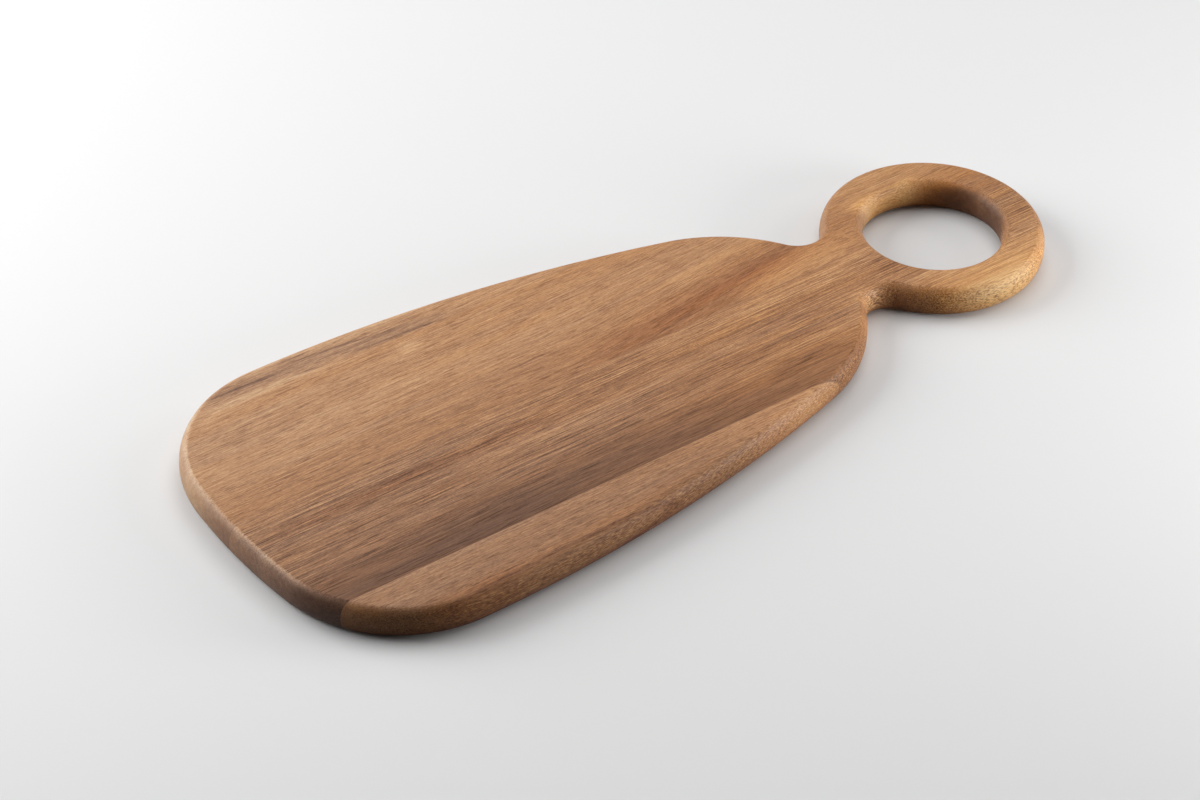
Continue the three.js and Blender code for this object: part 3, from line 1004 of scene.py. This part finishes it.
# %% Directions as the camera sees them
AZIMUTH, ELEVATION, ROLL = math.radians(51.94), math.radians(38.80), math.radians(1.952)
DISTANCE = 1.730
AIM_ACROSS, AIM_ALONG = 0.82 * MM, 196.5 * MM
TARGET = np.array((AIM_ACROSS, BROAD_END_Y + AIM_ALONG, 0.0))
UPWARD = np.array((0.0, 0.0, 1.0))
AWAY = np.array((-math.sin(AZIMUTH), math.cos(AZIMUTH), 0.0))
LEVEL_RIGHT = np.array((math.cos(AZIMUTH), math.sin(AZIMUTH), 0.0))
BACK = UPWARD * math.sin(ELEVATION) - AWAY * math.cos(ELEVATION)


def pose(right, up, back, place):
    """A pose from three directions, as columns, and a place."""
    columns = np.eye(4)
    columns[:3] = np.stack((right, up, back, place), axis=1)
    return Matrix(columns.tolist())


print("the camera looks from", np.round(TARGET + BACK * DISTANCE, 3))

# %% Camera
LENS_MM, SENSOR_MM = 113.77, 36.0
level_up = np.cross(BACK, LEVEL_RIGHT)
right = LEVEL_RIGHT * math.cos(ROLL) + level_up * math.sin(ROLL)
up = level_up * math.cos(ROLL) - LEVEL_RIGHT * math.sin(ROLL)
camera_data = bpy.data.cameras.new("photo_camera")
camera_data.lens = LENS_MM
camera_data.sensor_width = SENSOR_MM
camera = bpy.data.objects.new("photo_camera", camera_data)
camera.matrix_world = pose(right, up, BACK, TARGET + BACK * DISTANCE)
bpy.context.scene.collection.objects.link(camera)
bpy.context.scene.camera = camera
print(f"lens {LENS_MM} mm on a sensor {SENSOR_MM} mm wide")

# %% [markdown]
# ## The table
# The board lies on a plain pale table that runs on into a bright backdrop. A table that is white to
# every ray would throw light up at the near edges, and they would lose their depth. So it shows the
# camera, and the sheen on the oil, a paler tone than it bounces. Far from the board it also glows,
# for those two alone, as a lit backdrop would, and adds no other light to the wood.

# %% Table
TABLE_RADIUS = 4.0
TABLE_SEEN, TABLE_BOUNCED, TABLE_ROUGHNESS = 0.81, 0.1, 0.8
BACKDROP, BACKDROP_FROM, BACKDROP_BY = 0.72, 0.45, 1.1
bpy.ops.mesh.primitive_circle_add(
    vertices=96, radius=TABLE_RADIUS, fill_type="NGON", location=(0, 0, cad_low.z)
)
table = bpy.context.active_object
table.name = "table"
table_material = bpy.data.materials.new("pale_table")
table_material.use_nodes = True
table_tree = table_material.node_tree
table_shader = table_tree.nodes["Principled BSDF"]
light_path = add_node(table_tree, "ShaderNodeLightPath").outputs
in_sight = calc(table_tree, "MAXIMUM", light_path["Is Camera Ray"], light_path["Is Glossy Ray"])
pale = calc(table_tree, "MULTIPLY_ADD", in_sight, TABLE_SEEN - TABLE_BOUNCED, TABLE_BOUNCED)
plug(table_tree, pale, table_shader.inputs["Base Color"])
spot = add_node(table_tree, "ShaderNodeTexCoord").outputs["Object"]
apart = add_node(table_tree, "ShaderNodeVectorMath", {0: spot}, operation="LENGTH").outputs["Value"]
glow = ease(table_tree, apart, BACKDROP_FROM, BACKDROP_BY, 0.0, BACKDROP)
plug(table_tree, calc(table_tree, "MULTIPLY", in_sight, glow), table_shader.inputs["Emission Color"])
table_shader.inputs["Emission Strength"].default_value = 1.0
table_shader.inputs["Roughness"].default_value = TABLE_ROUGHNESS
table.data.materials.append(table_material)
print(f"table {2 * TABLE_RADIUS:.0f} m wide")

# %% [markdown]
# ## The lamps
# A broad softbox on the left does most of the work, two behind and above lift the far side, one far
# to the right opens the long edge, and a small low lamp wakes the ring's right flank. A bright world
# would light every side alike. So next to nothing comes from the camera's side, and the near edges
# fall dark.

# %% Lamps
BOARD_MIDDLE = np.zeros(3)
RING_MIDDLE = np.array((0.0, RING_Y, 0.0))


def softbox(name, aim, azimuth, elevation, distance, size, watts):
    """A square lamp at a distance from the place that it faces, kept out of the camera's sight.

    Azimuth counts in degrees from the camera's right, and 90 is straight away from it.
    """
    around, rise = math.radians(azimuth), math.radians(elevation)
    level = math.cos(around) * LEVEL_RIGHT + math.sin(around) * AWAY
    back = math.cos(rise) * level + math.sin(rise) * UPWARD
    side = np.cross(UPWARD, level)
    lamp_data = bpy.data.lights.new(name, "AREA")
    lamp_data.shape = "SQUARE"
    lamp_data.size = size
    lamp_data.energy = watts
    lamp = bpy.data.objects.new(name, lamp_data)
    lamp.matrix_world = pose(side, np.cross(back, side), back, aim + distance * back)
    lamp.visible_camera = False
    bpy.context.scene.collection.objects.link(lamp)
    print(f"{name}: {watts} W")


softbox("left_softbox", BOARD_MIDDLE, azimuth=167, elevation=28, distance=1.25, size=0.98, watts=16.6)
softbox("back_softbox", BOARD_MIDDLE, azimuth=90, elevation=45, distance=1.8, size=1.2, watts=6.0)
softbox("top_softbox", BOARD_MIDDLE, azimuth=50, elevation=72, distance=1.5, size=1.2, watts=7.2)
softbox("right_softbox", BOARD_MIDDLE, azimuth=25, elevation=20, distance=2.2, size=1.0, watts=12.0)
softbox("ring_lamp", RING_MIDDLE, azimuth=345, elevation=8, distance=0.62, size=0.28, watts=3.9)

# %% Surroundings and view
FILL = 0.04
world = bpy.data.worlds.new("studio")
world.use_nodes = True
background = world.node_tree.nodes["Background"].inputs
background["Color"].default_value = (1.0, 1.0, 1.0, 1.0)
seen = add_node(world.node_tree, "ShaderNodeLightPath").outputs["Is Camera Ray"]
strength = calc(world.node_tree, "MULTIPLY_ADD", seen, BACKDROP - FILL, FILL)
plug(world.node_tree, strength, background["Strength"])
bpy.context.scene.world = world
bpy.context.scene.view_settings.view_transform = "Standard"
print("view transform:", bpy.context.scene.view_settings.view_transform)
